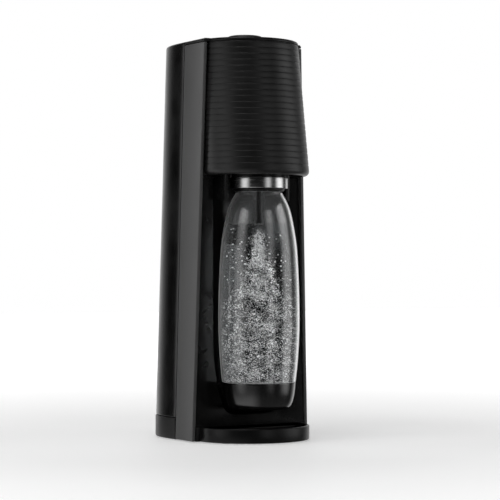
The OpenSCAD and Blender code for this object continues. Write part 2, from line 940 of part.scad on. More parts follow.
module lock_lever_pins() {
    color("#b9bbbd")
    for (x = [-lock_pin_out, lock_pin_in]) {
        translate([x, cylinder_y, lock_z]) rotate([0, 90, 0])
            cylinder(r = lock_pin_r, h = lock_pin_out - lock_pin_in);
    }
}

// ---- Rear cover ----

rear_lean = 8.5;
hatch_w = 26;
hatch_h = 13;
hatch_z = 392;
hatch_gap = 0.4;
function rear_depth(z) = rear_y - rear_lean * z / panel_top_z - seam_y;

// A thin slice of the cover's rounded outline, open_y longer towards the front
module rear_slice(z, inset, open_y = 0) {
    translate([0, 0, z]) linear_extrude(eps)
        polygon(concat(
            bulge(half_w(z) - inset, rear_depth(z) - inset, seam_y, 3, 1, 32),
            [[-half_w(z) + inset, seam_y - open_y], [half_w(z) - inset, seam_y - open_y]]
        ));
}

module rear_cover() {
    low_z = rear_base_z + 0.4;
    top_z = crown_z - 1.3;
    color("#101012")
    difference() {
        hull() {
            rear_slice(low_z, 0);
            rear_slice(top_z - 5, 0);
            rear_slice(top_z - 3.6, 0.4);
            rear_slice(top_z - 1.3, 1.5);
            rear_slice(top_z - 0.3, 3.2);
            rear_slice(top_z - eps, 5);
        }
        hull() {
            rear_slice(low_z - 1, wall, 5);
            rear_slice(top_z - 8, wall, 5);
            rear_slice(top_z - wall, wall + 4, 5);
        }
        translate([-hatch_w / 2, rear_y - 20, hatch_z - hatch_h / 2])
            cube([hatch_w, 40, hatch_h]);
    }
}

module cover_button() {
    face_y = seam_y + rear_depth(hatch_z) + 0.3;
    color("#2b2b2e")
    union() {
        translate([-hatch_w / 2 + hatch_gap, face_y - 4.5, hatch_z - hatch_h / 2 + hatch_gap])
            cube([hatch_w - 2 * hatch_gap, 4.5, hatch_h - 2 * hatch_gap]);
        // flange inside the cover that keeps the button in its hole
        translate([-hatch_w / 2 - 1.5, face_y - 5.5, hatch_z - hatch_h / 2 - 1.5])
            cube([hatch_w + 3, 1.4, hatch_h + 3]);
    }
}

base_shell();
drip_tray();
bottom_plate();
feet();
base_screws();
frame_left();
frame_right();
frame_bracket();
holder_deck();
spring_deck();
valve_deck();
frame_screws();
back_wall();
left_side_panel();
right_side_panel();
head_shell();
head_underside();
top_cover();
button_bezel();
carbonating_button();
lever_spring();
actuator_lever();
lever_pin();
gas_block();
gas_block_seal();
valve_plunger();
relief_valve();
gas_tube();
gas_elbow();
holder_yoke();
holder_pins();
holder_detent();
carbonation_head();
neck_seal();
nozzle_tube();
nozzle_tip();
steel_collar();
lower_ring();
bottle();
bottle_cup();
gas_cylinder();
cylinder_valve();
cylinder_seat();
lock_lever();
lock_lever_pins();
rear_cover();
cover_button();
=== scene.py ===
import math
import random

import bmesh
import bpy
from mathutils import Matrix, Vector


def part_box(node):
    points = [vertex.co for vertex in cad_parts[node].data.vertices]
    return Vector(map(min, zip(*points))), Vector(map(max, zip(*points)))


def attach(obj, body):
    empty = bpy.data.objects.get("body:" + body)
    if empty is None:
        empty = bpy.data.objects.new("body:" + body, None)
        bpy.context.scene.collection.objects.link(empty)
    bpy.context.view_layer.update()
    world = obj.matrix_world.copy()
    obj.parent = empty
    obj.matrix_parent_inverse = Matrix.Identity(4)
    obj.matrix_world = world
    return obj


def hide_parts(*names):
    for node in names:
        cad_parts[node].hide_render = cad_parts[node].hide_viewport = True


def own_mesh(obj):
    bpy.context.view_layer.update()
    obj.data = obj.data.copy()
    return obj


# A soda carbonator: the visible pieces that stand for its CAD nodes, and the studio round them.

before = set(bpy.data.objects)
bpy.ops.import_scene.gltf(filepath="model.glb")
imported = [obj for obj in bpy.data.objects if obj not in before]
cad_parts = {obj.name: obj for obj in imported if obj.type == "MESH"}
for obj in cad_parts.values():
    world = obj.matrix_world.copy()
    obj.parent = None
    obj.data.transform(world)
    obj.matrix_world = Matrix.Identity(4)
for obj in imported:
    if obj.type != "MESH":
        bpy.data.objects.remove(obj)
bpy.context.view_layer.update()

# Lengths are in millimetres unless a comment says otherwise, in the part's own frame:
# +Z up, the user at -Y.
MM = 0.001
LOW, HIGH = 0, 1
X, Y, Z = 0, 1, 2


def edge(node_name, side, axis):
    """One face of a CAD node's box."""
    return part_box(node_name)[side][axis] / MM


def middle(node_name, axis):
    return (edge(node_name, LOW, axis) + edge(node_name, HIGH, axis)) / 2


def radius(node_name):
    """The radius of a CAD node that is round about a vertical axis."""
    return (edge(node_name, HIGH, X) - edge(node_name, LOW, X)) / 2


def heights(node_name):
    return edge(node_name, LOW, Z), edge(node_name, HIGH, Z)


# ---- Sizes taken from the frame ----

BOTTLE_Y = middle("steel_collar", Y)
CYLINDER_Y = middle("gas_cylinder", Y)
BUTTON_Y = middle("button_bezel", Y)
RIM_Z, RIBS_TOP_Z = heights("head_shell")
FOOT_Z, REAR_BASE_Z = heights("base_shell")
REAR_Y = edge("base_shell", HIGH, Y)
FRONT_Y = edge("base_shell", LOW, Y)
TRAY_Z = edge("drip_tray", LOW, Z)
PANEL_TOP_Z = edge("left_side_panel", HIGH, Z)
FRONT_BASE_Z = edge("frame_bracket", LOW, Z)
CROWN_Z = edge("top_cover", HIGH, Z)
BUTTON_TOP_Z = edge("carbonating_button", HIGH, Z)
HATCH_Z = middle("cover_button", Z)

# ---- Sizes that the boxes do not give ----

HALF_W_LOW = 73.5  # half the width across the side panels, at the floor
HALF_W_TOP = 62.0  # the same at the panels' top
SEAM_Y = 8.5  # where the rear cover starts
PANEL_BACK_Y = SEAM_Y - 0.4  # the side panels and the top cover stop just short of it
PANEL_FRONT_Y = -28.5  # the side panels' front edge, at the floor
PANEL_LEAN = 5.6  # how much farther forward that edge is at the top
PANEL_T = 3.8  # a side panel's thickness
BACK_WALL_Y = -27.5  # the front face of the wall behind the bottle
RIM_R = 60.0  # the head casing's radius at its lower rim
CROWN_R = 58.0  # the same at its top
RIM_Y = RIM_R - REAR_Y  # its middle there: it reaches as far forward as the base reaches back
REAR_LEAN = 8.5  # how much shallower the rear cover is at the top
SQUARENESS = 3.0  # the power of the rear cover's outline, where 2 is an ellipse
WATER_Z = 231.0  # the water's surface


def half_w(z):
    """Half the width across the side panels at a height."""
    return HALF_W_LOW - (HALF_W_LOW - HALF_W_TOP) / PANEL_TOP_Z * z


def rear_depth(z):
    """How far the rear cover reaches behind its seam at a height."""
    return REAR_Y - REAR_LEAN * z / PANEL_TOP_Z - SEAM_Y


def head_r(z):
    """The head casing's radius at a height."""
    return RIM_R + (CROWN_R - RIM_R) * (z - RIM_Z) / (RIBS_TOP_Z - RIM_Z)


def head_y(z):
    """Where the middle of the head casing's round front is at a height."""
    return RIM_Y + (BUTTON_Y - RIM_Y) * (z - RIM_Z) / (RIBS_TOP_Z - RIM_Z)


# ---- Outlines ----


def bulge_point(a, b, y0, power, side, t):
    c, s = math.cos(t), math.sin(t)
    x = math.copysign(abs(c) ** (2 / power), c)
    return (a * x, y0 + side * b * abs(s) ** (2 / power))


def bulge(a, b, y0, power, side, steps):
    """Half of an ellipse (power 2) or of a squarer rounded outline, from +X round to -X."""
    return [bulge_point(a, b, y0, power, side, math.pi * i / steps) for i in range(steps + 1)]


def circle(r, steps, x=0, y=0):
    angles = [2 * math.pi * k / steps for k in range(steps)]
    return [(x + r * math.cos(a), y + r * math.sin(a)) for a in angles]


def rectangle(half_width, half_height, middle_y=0):
    low, high = middle_y - half_height, middle_y + half_height
    return [(-half_width, low), (half_width, low), (half_width, high), (-half_width, high)]


def quarter_round(r, steps):
    """A quarter circle as (inset, rise) pairs, from its foot to where it is upright."""
    angles = [math.pi / 2 * k / steps for k in range(steps + 1)]
    return [(r * (1 - math.sin(a)), r * (1 - math.cos(a))) for a in angles]


def anticlockwise(points):
    pairs = [(points[i - 1], points[i]) for i in range(len(points))]
    area = sum(a[0] * b[1] - b[0] * a[1] for a, b in pairs)
    return list(points) if area > 0 else list(reversed(points))


def inset(points, distance):
    """An anticlockwise closed outline moved inward; the mitre is limited at sharp corners."""
    n = len(points)
    moved = []
    for i in range(n):
        here = Vector(points[i])
        before = (here - Vector(points[i - 1])).normalized()
        after = (Vector(points[(i + 1) % n]) - here).normalized()
        n1 = Vector((-before.y, before.x))
        n2 = Vector((-after.y, after.x))
        mitre = (n1 + n2) / max(1 + n1.dot(n2), 0.4)
        moved.append(tuple(here + mitre * distance))
    return moved


def rounded(points, radius, steps=4):
    """A closed outline with round corners; radius is one number, or one for each corner."""
    n = len(points)
    radii = radius if isinstance(radius, (list, tuple)) else [radius] * n
    out = []
    for i in range(n):
        here = Vector(points[i])
        back = Vector(points[i - 1]) - here
        ahead = Vector(points[(i + 1) % n]) - here
        corner = back.angle(ahead)
        if radii[i] <= 0 or corner > math.pi - 0.02:
            out.append(tuple(here))
            continue
        reach = min(back.length, ahead.length) * 0.49
        cut = min(radii[i] / math.tan(corner / 2), reach)
        r = cut * math.tan(corner / 2)
        inward = (back.normalized() + ahead.normalized()).normalized()
        centre = here + inward * (r / math.sin(corner / 2))
        v1 = here + back.normalized() * cut - centre
        v2 = here + ahead.normalized() * cut - centre
        turn = v1.angle(v2)
        for k in range(steps + 1):
            t = k / steps
            spoke = v1 * math.sin((1 - t) * turn) + v2 * math.sin(t * turn)
            out.append(tuple(centre + spoke / math.sin(turn)))
    return out


def spline(p, q, r, s, t):
    """A value between q and r on a smooth curve that comes from p and goes on to s."""
    square = (2 * p - 5 * q + 4 * r - s) * t * t
    cube = (3 * q - p - 3 * r + s) * t ** 3
    return 0.5 * (2 * q + (r - p) * t + square + cube)


def smooth(points, steps=8):
    """A smooth curve through an open row of points."""
    last = len(points) - 1
    out = []
    for i in range(last):
        near = [points[j] for j in (max(i - 1, 0), i, i + 1, min(i + 2, last))]
        for k in range(steps):
            out.append(tuple(spline(*values, k / steps) for values in zip(*near)))
    return out + [tuple(points[last])]


def radius_at(outline, z):
    """The radius at a height on an outline of (radius, height) that rises from its start."""
    for (r0, z0), (r1, z1) in zip(outline, outline[1:]):
        if z0 <= z <= z1 and z1 > z0:
            return r0 + (r1 - r0) * (z - z0) / (z1 - z0)
    return outline[0][0] if z < outline[0][1] else outline[-1][0]


# ---- Shapes: each gives a list of points and a list of faces ----


def loft(rings, wrap=False, close_ring=True, caps=True):
    """A skin over rings of equal length; wrap joins the last ring to the first."""
    n = len(rings[0])
    count = len(rings)
    points = [p for ring in rings for p in ring]
    faces = []
    for i in range(count if wrap else count - 1):
        a, b = i * n, (i + 1) % count * n
        for k in range(n if close_ring else n - 1):
            m = (k + 1) % n
            faces.append((a + k, a + m, b + m, b + k))
    if caps and not wrap:
        faces.append(tuple(range(n - 1, -1, -1)))
        faces.append(tuple(range((count - 1) * n, count * n)))
    return points, faces


def lathe(outline, x, y, steps=128):
    """An outline of (radius, height) turned about a vertical axis; one that does not reach
    the axis is closed on itself."""
    points, rows = [], []
    for r, z in outline:
        start = len(points)
        if r < 1e-6:
            points.append((x, y, z))
            rows.append([start])
        else:
            points += [(px, py, z) for px, py in circle(r, steps, x, y)]
            rows.append(list(range(start, start + steps)))
    pairs = list(zip(rows, rows[1:]))
    if len(rows[0]) > 1 and len(rows[-1]) > 1:
        pairs.append((rows[-1], rows[0]))
    faces = []
    for a, b in pairs:
        for k in range(steps):
            m = (k + 1) % steps
            if len(a) == 1 and len(b) > 1:
                faces.append((a[0], b[m], b[k]))
            elif len(b) == 1 and len(a) > 1:
                faces.append((a[k], a[m], b[0]))
            elif len(a) > 1:
                faces.append((a[k], a[m], b[m], b[k]))
    return points, faces


def slab(outline, low, high, fillet, place, steps=3):
    """A plate of constant outline with rounded rims; place turns (u, v, w) into a point."""
    outline = anticlockwise(outline)
    levels = [(d, low + rise) for d, rise in quarter_round(fillet, steps)]
    levels += [(d, low + high - w) for d, w in reversed(levels)]
    rings = [[place(u, v, w) for u, v in inset(outline, d)] for d, w in levels]
    return loft(rings)


def strip(first, second):
    """The faces between two rows of point numbers."""
    return [(first[i], first[i + 1], second[i + 1], second[i]) for i in range(len(first) - 1)]


def joined(*shapes):
    """Several shapes as one."""
    points, faces = [], []
    for more_points, more_faces in shapes:
        start = len(points)
        points += more_points
        faces += [tuple(start + i for i in face) for face in more_faces]
    return points, faces


def upright(u, v, w):
    """Where slab puts a point of a plate that lies flat."""
    return (u, v, w)


# ---- Objects ----

SHARP = 40  # edges that turn by more degrees than this stay sharp, unless a piece says otherwise


def shade(mesh, sharp):
    """Smooth shading, but for edges that turn by more than some degrees."""
    for polygon in mesh.polygons:
        polygon.use_smooth = True
    mesh.set_sharp_from_angle(angle=math.radians(sharp))


def apply_modifiers(obj):
    """Puts the modified mesh in the place of the object's own."""
    bpy.context.view_layer.update()
    graph = bpy.context.evaluated_depsgraph_get()
    mesh = bpy.data.meshes.new_from_object(obj.evaluated_get(graph))
    old = obj.data
    obj.modifiers.clear()
    obj.data = mesh
    mesh.name = obj.name
    bpy.data.meshes.remove(old)


def new_mesh_object(name, points, faces):
    mesh = bpy.data.meshes.new(name)
    mesh.from_pydata(points, [], faces)
    bm = bmesh.new()
    bm.from_mesh(mesh)
    bmesh.ops.recalc_face_normals(bm, faces=bm.faces)
    bm.to_mesh(mesh)
    bm.free()
    obj = bpy.data.objects.new(name, mesh)
    bpy.context.scene.collection.objects.link(obj)
    return obj


def finish_piece(obj, material, body, nodes, sharp):
    """Gives a piece its material and its body, and hides the CAD nodes that it stands for."""
    obj.data.materials.clear()
    obj.data.materials.append(material)
    shade(obj.data, sharp)
    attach(obj, body)
    if nodes:
        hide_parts(*nodes)
    return obj


def piece(
    name, shape, body, slot, nodes, material=None, sharp=SHARP, thickness=0, bevel=0, cutter=None
):
    """A visible piece made of millimetre points, which stands for some CAD nodes.

    Its material is its slot's look unless another one is given.
    """
    points, faces = shape
    obj = new_mesh_object(name, [Vector(p) * MM for p in points], faces)
    if thickness:
        solid = obj.modifiers.new("thickness", "SOLIDIFY")
        solid.thickness = thickness * MM
        solid.offset = -1
        solid.use_even_offset = True
    if cutter:
        tool = new_mesh_object("cutter", [Vector(p) * MM for p in cutter[0]], cutter[1])
        cut = obj.modifiers.new("cut", "BOOLEAN")
        cut.operation = "DIFFERENCE"
        cut.object = tool
    if bevel:
        round_off(obj, bevel)
    if obj.modifiers:
        apply_modifiers(obj)
    if cutter:
        bpy.data.objects.remove(tool)
    return finish_piece(obj, material or LOOKS[slot], body, nodes, sharp)


def round_off(obj, width):
    """Adds a bevel to the edges that turn sharply."""
    soften = obj.modifiers.new("soften", "BEVEL")
    soften.width = width * MM
    soften.segments = 3
    soften.limit_method = "ANGLE"
    soften.angle_limit = math.radians(42)
    soften.use_clamp_overlap = True


def softened(node_name, width, body, slot):
    """A copy of a CAD node with its sharp edges rounded, shown in the node's place."""
    bm = bmesh.new()
    bm.from_mesh(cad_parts[node_name].data)
    bmesh.ops.remove_doubles(bm, verts=bm.verts, dist=2e-6)
    flat = math.radians(1.5)
    bmesh.ops.dissolve_limit(bm, angle_limit=flat, verts=bm.verts, edges=bm.edges)
    points = [v.co.copy() for v in bm.verts]
    faces = [tuple(v.index for v in f.verts) for f in bm.faces]
    bm.free()
    obj = new_mesh_object(node_name + "_softened", points, faces)
    round_off(obj, width)
    apply_modifiers(obj)
    return finish_piece(obj, LOOKS[slot], body, [node_name], SHARP)


# ---- Materials ----


def connect(tree, node, inputs):
    """Gives a node its inputs; each is a value, or another node's output to link from."""
    for key, value in inputs.items():
        if isinstance(value, bpy.types.NodeSocket):
            tree.links.new(value, node.inputs[key])
        else:
            node.inputs[key].default_value = value


def add(tree, kind, inputs=None, **settings):
    """A new shader node, with its kind given without the prefix."""
    new = tree.nodes.new("ShaderNode" + kind)
    for key, value in settings.items():
        setattr(new, key, value)
    connect(tree, new, inputs or {})
    return new


def start_material(name):
    """A new material, its node tree, its shader and the object coordinates."""
    material = bpy.data.materials.new(name)
    material.use_nodes = True
    tree = material.node_tree
    shader = tree.nodes["Principled BSDF"]
    place = add(tree, "TexCoord").outputs["Object"]
    return material, tree, shader, place


def grey(value):
    return (value, value, value, 1.0)


def ranged(tree, value, low, high, start=0.3, end=0.7):
    """Goes from low to high as the value goes from start to end."""
    inputs = {"Value": value, "From Min": start, "From Max": end, "To Min": low, "To Max": high}
    return add(tree, "MapRange", inputs).outputs["Result"]


def noise(tree, place, size_mm, detail=3.0, rough=0.5):
    """Smooth noise around 0.5, with blotches of about the given size."""
    inputs = {"Vector": place, "Scale": 1 / (size_mm * MM), "Detail": detail, "Roughness": rough}
    return add(tree, "TexNoise", inputs).outputs["Fac"]


def blend_colours(tree, share, a, b):
    """Colour a turning into b; the mix node's colour sockets can only be told by number."""
    return add(tree, "Mix", {0: share, 6: a, 7: b}, data_type="RGBA").outputs[2]


def bump(tree, height, depth_mm, strength=1.0):
    inputs = {"Height": height, "Distance": depth_mm * MM, "Strength": strength}
    return add(tree, "Bump", inputs).outputs["Normal"]


def plastic(name, colour, worn, roughness, specular, grain_mm=0.7, depth_mm=0.02):
    """Moulded plastic: fine grain, uneven gloss from handling, and slightly paler edges."""
    material, tree, shader, place = start_material(name)
    handled = noise(tree, place, 38, 4.0, 0.6)
    grain = noise(tree, place, grain_mm, 2.0, 0.6)
    pointed = add(tree, "NewGeometry").outputs["Pointiness"]
    edges = ranged(tree, pointed, 0.0, 0.55, 0.53, 0.62)
    patchy = ranged(tree, handled, 0.0, 0.35, 0.35, 0.75)
    share = add(tree, "Math", {0: edges, 1: patchy}, operation="ADD").outputs[0]
    connect(tree, shader, {
        "Base Color": blend_colours(tree, share, colour, worn),
        "Roughness": ranged(tree, handled, roughness - 0.05, roughness + 0.07),
        "Normal": bump(tree, grain, depth_mm),
        "Specular IOR Level": specular,
    })
    return material


def metal(name, colour, dull, roughness, streak=(1, 1, 1), streak_mm=1.2, depth_mm=0.01):
    """Metal with a directional finish: streak says how much finer the marks are on each axis."""
    material, tree, shader, place = start_material(name)
    stretched = add(tree, "Mapping", {"Vector": place, "Scale": streak})
    marks = noise(tree, stretched.outputs["Vector"], streak_mm, 4.0, 0.65)
    stain = noise(tree, place, 25, 3.0)
    connect(tree, shader, {
        "Base Color": blend_colours(tree, ranged(tree, stain, 0.0, 1.0), colour, dull),
        "Roughness": ranged(tree, marks, roughness - 0.07, roughness + 0.1),
        "Normal": bump(tree, marks, depth_mm),
        "Metallic": 1.0,
    })
    return material


def clear(name, tint, ior, ripple_mm, depth_mm, specular=0.3, edge_haze=0.0, dry_from=None):
    """Clear plastic or water, faintly uneven; edge_haze pales it where it is seen edge-on.

    Above the height dry_from nothing wets the inside, so both its faces reflect.
    """
    material, tree, shader, place = start_material(name)
    ripple = noise(tree, place, ripple_mm, 2.0)
    connect(tree, shader, {
        "Base Color": tint,
        "IOR": ior,
        "Roughness": ranged(tree, ripple, 0.0, 0.03),
        "Normal": bump(tree, ripple, depth_mm, 0.5),
        "Specular IOR Level": specular,
        "Sheen Weight": edge_haze,
        "Sheen Roughness": 0.38,
        "Transmission Weight": 1.0,
    })
    if dry_from is not None:
        height = add(tree, "SeparateXYZ", {0: place}).outputs["Z"]
        dry = ranged(tree, height, 0.0, 1.0, dry_from * MM, (dry_from + 3) * MM)
        connect(tree, shader, {
            "Specular IOR Level": ranged(tree, dry, specular, 1.0, 0.0, 1.0),
            "Coat Weight": dry,
            "Coat Roughness": 0.15,
            "Coat IOR": 1.6,
        })
    return material


def glowing_bubble_look():
    """Pale bubbles in thicker and thinner clouds, which glow with painted light in their own tone."""
    material, tree, shader, place = start_material("bubble_painted_glow")
    share = ranged(tree, noise(tree, place, 11, 4.0), 0.0, 1.0, 0.36, 0.62)
    tone = blend_colours(tree, share, grey(0.22), grey(0.9))
    connect(tree, shader, {
        "Base Color": tone,
        # Painted light: the bubbles glow in their own tone, and the paler clouds glow more.
        "Emission Color": tone,
        "Emission Strength": 0.6,
        "Roughness": 0.12,
    })
    return material


def floor_look():
    """A pale floor with a painted glow, dimmer near the object and as white as the background farther
    away.
    """
    material, tree, shader, place = start_material("pale_floor")
    share = ranged(tree, noise(tree, place, 120, 4.0), 0.0, 1.0)
    away = add(tree, "VectorMath", {0: place}, operation="LENGTH").outputs["Value"]
    connect(tree, shader, {
        "Base Color": blend_colours(tree, share, grey(0.86), grey(0.9)),
        "Roughness": 0.6,
        "Specular IOR Level": 0.2,
        # Painted light: the floor glows, weakly near the object and fully farther away from it.
        "Emission Color": grey(1.0),
        "Emission Strength": ranged(tree, away, 0.38, 1.0, 0.3, 1.6),
    })
    return material


# Slots of moulded plastic: colour, worn colour, roughness, specular, then the grain's size and depth
PLASTICS = {
    "satin_black": (grey(0.004), grey(0.012), 0.34, 0.25),
    "tray_black": (grey(0.003), grey(0.008), 0.32, 0.2),
    "dark_plastic": (grey(0.008), grey(0.02), 0.5, 0.3),
    "rubber": (grey(0.01), grey(0.03), 0.75, 0.25, 0.9, 0.04),
    "frame_plastic": (grey(0.045), grey(0.075), 0.45, 0.35),
    "wall_black": (grey(0.002), grey(0.006), 0.22, 0.28),
    "panel_grey": (grey(0.062), grey(0.075), 0.33, 0.42),
    "ribbed_black": (grey(0.006), grey(0.014), 0.4, 0.42),
    "bezel_grey": (grey(0.06), grey(0.12), 0.3, 0.5),
    "button_black": (grey(0.01), grey(0.03), 0.3, 0.45),
    "tube_plastic": (grey(0.55), grey(0.65), 0.35, 0.5),
    "holder_black": (grey(0.003), grey(0.01), 0.26, 0.35),
    "nozzle_black": (grey(0.004), grey(0.01), 0.3, 0.3),
    "cup_black": (grey(0.002), grey(0.006), 0.2, 1.0, 0.7, 0.006),
    "lever_pink": ((0.42, 0.07, 0.16, 1), (0.5, 0.12, 0.22, 1), 0.35, 0.5),
    "cover_black": (grey(0.0025), grey(0.006), 0.2, 0.2),
}

# Slots of metal: colour, dull colour, roughness, streak, then the marks' size and depth
METALS = {
    "screw_steel": (grey(0.55), grey(0.42), 0.32),
    "spring_steel": (grey(0.6), grey(0.45), 0.25),
    "lever_metal": (grey(0.62), grey(0.5), 0.34, (0.05, 1, 1)),
    "brass": ((0.72, 0.47, 0.17, 1), (0.5, 0.32, 0.12, 1), 0.28),
    "collar_steel": (grey(0.62), grey(0.52), 0.2, (0.03, 0.03, 6.0), 2.4, 0.006),
    "cylinder_paint": (grey(0.42), grey(0.36), 0.3, (1, 1, 0.05)),
}

LOOKS = {slot: plastic(slot, *settings) for slot, settings in PLASTICS.items()}
LOOKS.update({slot: metal(slot, *settings) for slot, settings in METALS.items()})
LOOKS["bottle_clear"] = clear(
    "bottle_clear", (0.97, 0.98, 0.985, 1), 1.5, 30, 0.05, 0.2, 1.0, WATER_Z
)
WATER_LOOK = clear("water", (0.96, 0.975, 0.98, 1), 1.33, 14, 0.05)
GLOWING_BUBBLE_LOOK = glowing_bubble_look()


# ---- Head casing: one wall swept round the front, with a groove above each rib ----

HEAD_TAIL = 5.0  # how far its straight sides go on behind its round front
HEAD_WALL = 3.0
HEAD_STEPS = 96
RIM_H = 6.0  # the height and the radius of the lower rim's rounding
RIM_T = 8.0  # the thickness of the lower rim
RIB_PITCH = 6.5


def rib_section(z):
    """One rib and the groove above it, as (height, inset) pairs from its lower edge."""
    groove, depth, soft = 1.0, 0.4, 0.3
    top = z + RIB_PITCH - groove
    return [
        (z, soft),
        (z + soft * 0.4, soft * 0.3),
        (z + soft * 1.5, 0),
        (top - soft * 1.5, 0),
        (top - soft * 0.4, soft * 0.3),
        (top, soft),
        (top + groove * 0.3, depth),
        (top + groove * 0.7, depth),
    ]


def head_ring(z, inward):
    """The casing's outline at a height, moved inward."""
    r = head_r(z) - inward
    back = head_y(z) + HEAD_TAIL
    outline = [(r, back)] + bulge(r, r, head_y(z), 2, -1, HEAD_STEPS) + [(-r, back)]
    return [(x, y, z) for x, y in outline]


def make_head_casing():
    """The section goes up the outside, over the ribs, and down the inside."""
    ribs_z = RIM_Z + RIM_H
    section = [(RIM_Z + rise, inward) for inward, rise in quarter_round(RIM_H, 6)]
    for i in range(round((RIBS_TOP_Z - ribs_z) / RIB_PITCH)):
        section += rib_section(ribs_z + i * RIB_PITCH)
    section += [(RIBS_TOP_Z - 0.3, 0.5), (RIBS_TOP_Z, 1.0)]
    section += [(RIBS_TOP_Z, HEAD_WALL), (ribs_z + 1, HEAD_WALL)]
    section += [(ribs_z, RIM_T), (RIM_Z + 1, RIM_T), (RIM_Z, RIM_T - 1)]
    rings = [head_ring(z, inward) for z, inward in section]
    n = len(rings[0])
    points, faces = loft(rings, wrap=True, close_ring=False)
    faces.append(tuple(i * n for i in range(len(rings))))
    faces.append(tuple(i * n + n - 1 for i in reversed(range(len(rings)))))
    piece("ribbed_head_casing", (points, faces), "tower", "ribbed_black", ["head_shell"])


# ---- Top cover: the casing's round front joined to a bar over the side panels ----

FLAT_TOP_Z = CROWN_Z - 1.3
# (height above FLAT_TOP_Z, inset) round the upper edge of the top cover and of the rear cover
EDGE_STEPS = [(-2.6, 0.0), (-1.8, 0.1), (-1.0, 0.45), (-0.4, 1.05), (-0.1, 1.7), (0.0, 2.4)]
BEZEL_HOLE_R = 22.3


def cover_outline():
    """The cover's plan, with its straight back edge divided to match the button's hole."""
    bar_half = half_w(RIBS_TOP_Z) - 0.1
    bar_front = PANEL_FRONT_Y - PANEL_LEAN + 0.4
    turn = math.asin((BUTTON_Y - bar_front) / CROWN_R)
    arc_points = []
    steps, back_steps = 72, 24
    for i in range(steps + 1):
        a = turn + (math.pi - 2 * turn) * i / steps
        arc_points.append((CROWN_R * math.cos(a), BUTTON_Y - CROWN_R * math.sin(a)))
    side = [(bar_half, PANEL_BACK_Y), (bar_half, bar_front)]
    corners = rounded([(0, 0)] + side + [arc_points[0]], [0, 0, 0.8, 0.6])[1:]
    mirrored = [(-x, y) for x, y in reversed(corners)]
    back_edge = [
        (-bar_half + 2 * bar_half * i / back_steps, PANEL_BACK_Y) for i in range(1, back_steps)
    ]
    return anticlockwise(corners + arc_points[1:-1] + mirrored + back_edge)


def make_top_cover():
    """The rings go up the outside, over the crown to the button's hole, and back underneath."""
    outline = cover_outline()

    def ring(z, inward):
        """The outline moved inward, except along its straight back edge."""
        moved = inset(outline, inward) if inward else outline
        return [
            (m[0], PANEL_BACK_Y if abs(p[1] - PANEL_BACK_Y) < 1e-6 else m[1], z)
            for p, m in zip(outline, moved)
        ]

    def toward_hole(z, share, inward):
        """A ring whose points have gone a share of the way to the button's hole."""
        points = []
        for x, y, _ in ring(z, inward):
            out = Vector((x, y - BUTTON_Y)).normalized() * BEZEL_HOLE_R
            points.append((x + (out.x - x) * share, y + (out.y + BUTTON_Y - y) * share, z))
        return points

    widest = EDGE_STEPS[-1][1]
    low = RIBS_TOP_Z + 0.1
    rings = [ring(low, 0.5), ring(low + 0.4, 0)]
    rings += [ring(FLAT_TOP_Z + dz, d) for dz, d in EDGE_STEPS if FLAT_TOP_Z + dz > low + 0.5]
    for share in (0.2, 0.45, 0.7, 0.9, 1.0):
        rise = (CROWN_Z - FLAT_TOP_Z) * math.sin(share * math.pi / 2)
        rings.append(toward_hole(FLAT_TOP_Z + rise, share, widest))
    rings.append(toward_hole(low + 1.1, 1.0, widest))
    rings.append(ring(low + 1.1, 2.6))
    rings.append(ring(low, 2.2))
    shape = loft(rings, wrap=True)
    piece("crowned_top_cover", shape, "tower", "satin_black", ["top_cover"], sharp=50)


# ---- Button and its bezel ----


def make_button():
    """A domed cap with a skirt, and a stem down to the lever."""
    r = radius("carbonating_button")
    stem_r = 3.0
    stem_z = edge("carbonating_button", LOW, Z)
    skirt_z = 425.0
    edge_z = BUTTON_TOP_Z - 1.5
    inside_z = BUTTON_TOP_Z - 4
    dome = [(r * 0.9 * k / 6, BUTTON_TOP_Z - 0.9 * (k / 6) ** 2) for k in range(6)]
    outline = dome + [
        (r * 0.9, BUTTON_TOP_Z - 0.95), (r * 0.955, edge_z - 0.1), (r * 0.987, edge_z - 1.1),
        (r, edge_z - 2.2), (r, skirt_z + 0.4), (r - 0.4, skirt_z),
        (r - 1.8, skirt_z), (r - 2.1, skirt_z + 0.4), (r - 2.1, inside_z),
        (stem_r, inside_z), (stem_r, stem_z + 0.5), (stem_r - 0.5, stem_z), (0, stem_z),
    ]
    shape = lathe(outline, 0, BUTTON_Y, 96)
    piece("domed_button", shape, "button", "button_black", ["carbonating_button"])


def make_lever_spring():
    """The lever's return spring, which the lever swings down onto."""
    low, high = heights("lever_spring")
    wire_r, turns, per_turn, sides = 0.6, 5, 20, 10
    r = radius("lever_spring") - wire_r
    rings = []
    for i in range(turns * per_turn + 1):
        a = 2 * math.pi * i / per_turn
        z = low + wire_r + (high - low - 2 * wire_r) * i / (turns * per_turn)
        section = circle(wire_r, sides, r, z)
        rings.append([(q * math.cos(a), BUTTON_Y + q * math.sin(a), w) for q, w in section])
    shape = loft(rings)
    spring = piece("return_spring", shape, "tower", "spring_steel", ["lever_spring"], sharp=80)
    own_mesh(spring)


def make_bezel():
    """A sleeve round the button, with a flange that rests on the top cover."""
    bore_r, sleeve_r, flange_r = 20.0, 22.0, radius("button_bezel")
    flange_z = CROWN_Z - 0.2
    low, high = heights("button_bezel")
    outline = rounded(
        [
            (bore_r, low), (sleeve_r, low), (sleeve_r, flange_z), (flange_r, flange_z),
            (flange_r, high - 0.1), (bore_r + 0.9, high), (bore_r, high - 0.5),
        ],
        [0.2, 0.2, 0.1, 0.1, 0.4, 0.3, 0.2],
    )
    shape = lathe(outline, 0, BUTTON_Y, 96)
    piece("button_ring", shape, "tower", "bezel_grey", ["button_bezel"])


# ---- Side panels: flat plates that lean in towards the top ----

PEG_R = 3.5
PEG_Y = -12.0
PEG_HEIGHTS = (60, 200, 310, 390)


